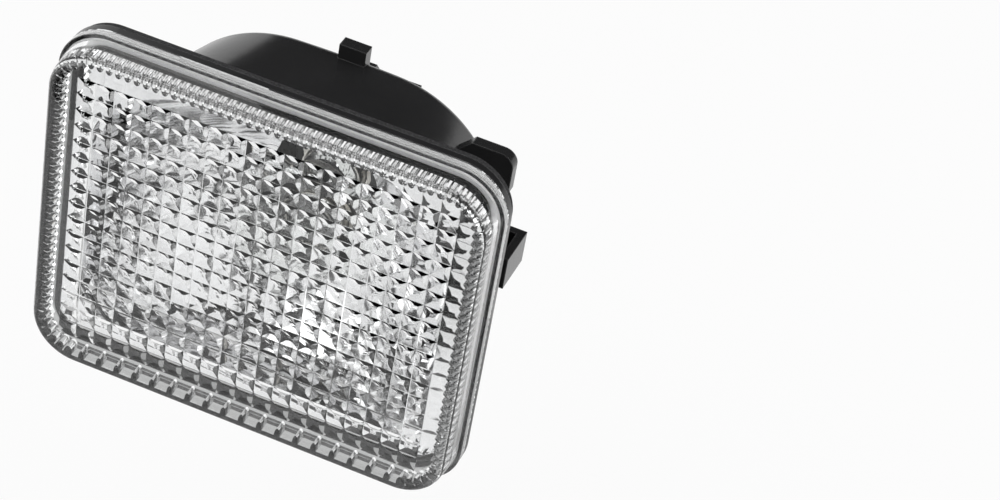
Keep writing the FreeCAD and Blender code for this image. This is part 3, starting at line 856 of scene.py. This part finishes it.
class Make(Enum):
    """The finishes of the lamp's pieces."""

    LENS = ClearMoulding(
        "clear_acrylic",
        colour=(0.985, 0.99, 0.99),
        index=1.49,
        wave_size=6 * MM,
        wave_depth=0.004 * MM,
    )
    GLASS = ClearMoulding(
        "bulb_glass",
        colour=(0.99, 0.995, 0.99),
        index=1.5,
        wave_size=9 * MM,
        wave_depth=0.01 * MM,
    )
    HOUSING = MouldedPlastic(
        "black_moulding",
        colour=(0.016, 0.016, 0.0165),
        roughness=0.2,
        gloss_spread=0.1,
        skin_size=0.9 * MM,
        skin_depth=0.004 * MM,
        edge_round=0.5 * MM,
        specular=0.4,
    )
    HOLDER = MouldedPlastic(
        "satin_moulding",
        colour=(0.013, 0.013, 0.0135),
        roughness=0.32,
        gloss_spread=0.12,
        skin_size=0.5 * MM,
        skin_depth=0.008 * MM,
        edge_round=0.35 * MM,
        specular=0.35,
    )
    RUBBER = MouldedPlastic(
        "moulded_rubber",
        colour=(0.02, 0.02, 0.02),
        roughness=0.75,
        gloss_spread=0.15,
        skin_size=0.3 * MM,
        skin_depth=0.02 * MM,
        edge_round=0.4 * MM,
        specular=0.3,
    )
    SEALANT = MouldedPlastic(
        "sealant_bead",
        colour=(0.82, 0.82, 0.82),
        roughness=0.5,
        gloss_spread=0.1,
        skin_size=2.0 * MM,
        skin_depth=0.01 * MM,
        edge_round=0.4 * MM,
        specular=0.4,
    )
    VITRITE = MouldedPlastic(
        "black_glass_plug",
        colour=(0.008, 0.008, 0.01),
        roughness=0.12,
        gloss_spread=0.08,
        skin_size=1.5 * MM,
        skin_depth=0.01 * MM,
        edge_round=0.2 * MM,
    )
    FOAM = FoamRubber(
        "closed_cell_foam",
        colour=(0.012, 0.012, 0.013),
        speck=(0.07, 0.07, 0.072),
        pore_size=0.38 * MM,
        pore_depth=0.16 * MM,
    )
    SPRING = SheetMetal(
        "spring_strip",
        colour=(0.66, 0.64, 0.6),
        stain=(0.5, 0.48, 0.45),
        roughness=0.3,
        streak=(300.0, 300.0, 9000.0),
        streak_depth=0.003 * MM,
        edge_round=0.12 * MM,
    )
    NICKEL = SheetMetal(
        "nickelled_brass",
        colour=(0.74, 0.72, 0.68),
        stain=(0.6, 0.58, 0.54),
        roughness=0.28,
        streak=(800.0, 800.0, 800.0),
        streak_depth=0.004 * MM,
        edge_round=0.1 * MM,
    )
    TINNED = SheetMetal(
        "tinned_blade",
        colour=(0.8, 0.8, 0.81),
        stain=(0.62, 0.62, 0.62),
        roughness=0.26,
        streak=(2500.0, 300.0, 2500.0),
        streak_depth=0.003 * MM,
        edge_round=0.1 * MM,
    )
    WIRE = SheetMetal(
        "drawn_wire",
        colour=(0.5, 0.5, 0.5),
        stain=(0.34, 0.34, 0.35),
        roughness=0.35,
        streak=(2000.0, 200.0, 2000.0),
        streak_depth=0.002 * MM,
        edge_round=0.05 * MM,
    )
    SOLDER = SheetMetal(
        "soft_solder",
        colour=(0.62, 0.62, 0.63),
        stain=(0.45, 0.45, 0.46),
        roughness=0.4,
        streak=(900.0, 900.0, 900.0),
        streak_depth=0.02 * MM,
        edge_round=0.1 * MM,
    )
    MIRROR = MetallisedMirror(
        "metallised_bowl",
        colour=(0.93, 0.93, 0.935),
        roughness=0.02,
        ripple_size=7 * MM,
        ripple_depth=0.01 * MM,
    )


NODE_MAKES: Mapping[str, Make] = {
    "lens_seal": Make.SEALANT,
    "housing": Make.HOUSING,
    "mounting_gasket": Make.FOAM,
    "spring_clip": Make.SPRING,
    "reflector": Make.MIRROR,
    "bulb_glass": Make.GLASS,
    "bulb_stem": Make.GLASS,
    "bulb_lead_live": Make.WIRE,
    "bulb_lead_earth": Make.WIRE,
    "bulb_filament": Make.WIRE,
    "bulb_cap": Make.NICKEL,
    "bulb_pin_right": Make.NICKEL,
    "bulb_pin_left": Make.NICKEL,
    "bulb_insulator": Make.VITRITE,
    "bulb_contact": Make.SOLDER,
    "bulb_holder": Make.HOLDER,
    "holder_seal": Make.RUBBER,
    "socket_sleeve": Make.NICKEL,
    "terminal_feed": Make.TINNED,
    "terminal_earth": Make.TINNED,
}


@dataclass
class LampBody:
    """The pieces that keep the CAD model's own shape and get their finish here."""

    def build(self, nodes: Mapping[str, bpy.types.Object]) -> None:
        """Gives each node its finish.

        Args:
            nodes: The CAD nodes by name.
        """
        made = {make: make.value.make() for make in dict.fromkeys(NODE_MAKES.values())}
        for name, make in NODE_MAKES.items():
            dress(nodes[name], made[make])
            LOG.info("%s: %s", name, make.value.name)


@dataclass(frozen=True)
class Softbox:
    """One soft studio lamp aimed at the object."""

    name: str
    place: Point
    width: float
    height: float
    power: float


@dataclass(frozen=True)
class Card:
    """One dark or grey card that stands across a direction from the lamp, a sheet of painted shade that shows
    only in reflections and through the lens.

    The azimuth is in degrees from straight in front of the lens towards +X. The card stands at the far
    distance between its low and top heights, and its lower edge runs in along the floor to the near one.
    """

    name: str
    azimuth: float
    width: float
    far: float
    low: float
    top: float
    near: float
    shade: float = PAINTED_SHADE


@dataclass
class Studio:
    """Floor, soft light, cards of painted shade and camera."""

    floor_height: float = -0.115
    floor_size: float = 8.0
    floor_white: float = 0.9
    shadow_share: float = 0.1
    fill: float = 0.55
    camera_place: Point = (0.19092, -0.50402, 0.43744)
    camera_azimuth: float = 15.285
    camera_elevation: float = 38.432
    camera_roll: float = 10.928
    focal_length: float = 108.0
    sensor_width: float = 36.0
    clip_start: float = 0.01
    clip_end: float = 50.0
    softboxes: Tuple[Softbox, ...] = (
        Softbox("key_softbox", (-0.7, -0.5, 0.9), width=1.1, height=1.1, power=5.0),
        Softbox("rim_softbox", (0.9, 0.2, 0.5), width=0.7, height=0.9, power=3.0),
    )
    cards: Tuple[Card, ...] = (
        Card("card_front", azimuth=7.5, width=0.092, far=0.35, low=-0.07, top=0.29, near=0.35),
        Card("card_right", azimuth=29.0, width=0.115, far=0.35, low=-0.112, top=-0.074, near=0.14),
        Card("card_left", azimuth=-37.5, width=0.1, far=0.4, low=-0.112, top=-0.07, near=0.24),
        Card("card_floor_right", azimuth=7.5, width=0.07, far=0.34, low=-0.112, top=-0.111, near=0.135),
        Card("card_floor_left", azimuth=-12.0, width=0.08, far=0.31, low=-0.112, top=-0.111, near=0.225),
        Card("card_high", azimuth=-23.0, width=0.19, far=0.6, low=0.13, top=0.7, near=0.6),
        Card("card_behind", azimuth=165.0, width=0.9, far=0.5, low=0.1, top=0.8, near=0.5),
        # Painted shadow: a mid grey card under the lamp stands in for the lamp's shadow on the floor, seen
        # through the bottom of the lens
        Card(
            "painted_shadow_under", azimuth=180.0, width=0.2, far=0.12, low=-0.112, top=-0.1, near=-0.03, shade=PAINTED_SHADOW
        ),
    )

    @staticmethod
    def seen_directly(bench: ShaderBench) -> Signal:
        """1 for what the camera sees, straight, mirrored or through glass, and 0 for other light."""
        camera = bench.add("ShaderNodeLightPath", output="Is Camera Ray")
        glossy = bench.add("ShaderNodeLightPath", output="Is Glossy Ray")
        clear = bench.add("ShaderNodeLightPath", output="Is Transmission Ray")
        return camera | glossy | clear

    def light_world(self) -> None:
        """A white surround that lights the object softly."""
        world = bpy.data.worlds.new("white_surround")
        bpy.context.scene.world = world
        bench = ShaderBench(world)
        strength = self.seen_directly(bench) * (1.0 - self.fill) + self.fill
        inputs = {"Color": (1.0, 1.0, 1.0, 1.0), "Strength": strength}
        shader = bench.add("ShaderNodeBackground", {}, inputs)
        bench.output(shader, "ShaderNodeOutputWorld")

    def lay_floor(self) -> None:
        """A plain white floor that keeps a faint shadow."""
        Workshop.start()
        bpy.ops.mesh.primitive_plane_add(size=self.floor_size, location=(0.0, 0.0, self.floor_height))
        floor = Workshop.named("floor")
        material = bpy.data.materials.new("white_floor")
        bench = ShaderBench(material)
        white = (self.floor_white, self.floor_white, self.floor_white, 1.0)
        matt = bench.add("ShaderNodeBsdfDiffuse", {}, {"Color": white}, "BSDF")
        bright = {"Color": (1.0, 1.0, 1.0, 1.0), "Strength": 1.0}
        glow = bench.add("ShaderNodeEmission", {}, bright, "Emission")
        share = self.seen_directly(bench) * (1.0 - self.shadow_share)
        mixed = bench.add("ShaderNodeMixShader", {}, {"Fac": share, 1: matt, 2: glow}, "Shader")
        bench.output(mixed, "ShaderNodeOutputMaterial")
        dress(floor, material)

    @staticmethod
    def aimed(place: Point) -> Matrix:
        """A placement that looks from a place towards the origin."""
        here = Vector(place)
        turn = (-here).to_track_quat("-Z", "Y").to_matrix().to_4x4()
        return Matrix.Translation(here) @ turn

    def hang_lights(self) -> None:
        """The soft studio lamps."""
        for box in self.softboxes:
            lamp = bpy.data.lights.new(box.name, "AREA")
            lamp.shape = "RECTANGLE"
            lamp.size = box.width
            lamp.size_y = box.height
            lamp.energy = box.power
            holder = bpy.data.objects.new(box.name, lamp)
            holder.matrix_world = self.aimed(box.place)
            holder.visible_camera = False
            bpy.context.scene.collection.objects.link(holder)

    @staticmethod
    def fold_card(card: Card) -> bpy.types.Object:
        """Folds one card: an upright sheet, with its lower edge drawn in along the floor where it runs in.

        Args:
            card: The card.

        Returns:
            Its sheet.
        """
        middle = (card.low + card.top) / 2
        Workshop.start()
        bpy.ops.mesh.primitive_plane_add(size=1.0, rotation=(math.pi / 2, 0.0, 0.0))
        sheet = Workshop.named(card.name)
        sheet.data.transform(Matrix.Diagonal((card.width, 1.0, card.top - card.low, 1.0)))
        sheet.data.transform(Matrix.Translation((0.0, -card.far, middle)))
        if card.near < card.far:
            Workshop.pick_edges(sheet, lambda a, b: max(a.z, b.z) < middle)
            inward = (0.0, card.far - card.near, 0.0)
            bpy.ops.mesh.extrude_edges_move(TRANSFORM_OT_translate={"value": inward})
            Workshop.done()
        sheet.data.transform(Matrix.Rotation(math.radians(card.azimuth), 4, "Z"))
        return sheet

    def stand_cards(self) -> None:
        """The cards that give clear and bright pieces their contrast: sheets of painted shade that show only
        in reflections and through the lens, the grey one a painted shadow under the lamp.
        """
        for card in self.cards:
            sheet = self.fold_card(card)
            material = bpy.data.materials.new(card.name)
            bench = ShaderBench(material)
            grey = (card.shade, card.shade, card.shade, 1.0)
            # Painted shade: the card glows evenly at its grey and shows only to mirror and glass rays
            painted_shade_glow = bench.add("ShaderNodeEmission", {}, {"Color": grey, "Strength": 1.0}, "Emission")
            bench.output(painted_shade_glow, "ShaderNodeOutputMaterial")
            dress(sheet, material)
            sheet.visible_camera = False
            sheet.visible_diffuse = False
            sheet.visible_shadow = False

    def set_camera(self) -> None:
        """The camera at the photograph's angle."""
        azimuth = math.radians(self.camera_azimuth)
        elevation = math.radians(self.camera_elevation)
        roll = math.radians(self.camera_roll)
        level = math.cos(elevation)
        forward = Vector((-math.sin(azimuth) * level, math.cos(azimuth) * level, -math.sin(elevation)))
        right = Vector((math.cos(azimuth), math.sin(azimuth), 0.0))
        up = right.cross(forward)
        turned_right = right * math.cos(roll) + up * math.sin(roll)
        turned_up = up * math.cos(roll) - right * math.sin(roll)
        turn = Matrix((turned_right, turned_up, -forward)).transposed().to_4x4()
        lens = bpy.data.cameras.new("camera")
        lens.lens = self.focal_length
        lens.sensor_width = self.sensor_width
        lens.clip_start = self.clip_start
        lens.clip_end = self.clip_end
        camera = bpy.data.objects.new("camera", lens)
        camera.matrix_world = Matrix.Translation(Vector(self.camera_place)) @ turn
        bpy.context.scene.collection.objects.link(camera)
        bpy.context.scene.camera = camera

    def build(self) -> None:
        """Sets the whole studio."""
        bpy.context.scene.view_settings.view_transform = "Standard"
        self.light_world()
        self.lay_floor()
        self.hang_lights()
        self.stand_cards()
        self.set_camera()
        LOG.info("studio set")


def main() -> None:
    """Builds the dressed lamp and its studio."""
    logging.basicConfig(level=logging.INFO, format="%(name)s: %(message)s")
    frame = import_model()
    LampBody().build(frame["nodes"])
    PrismLens().build(Make.LENS.value)
    Studio().build()


if __name__ == "__main__":
    main()
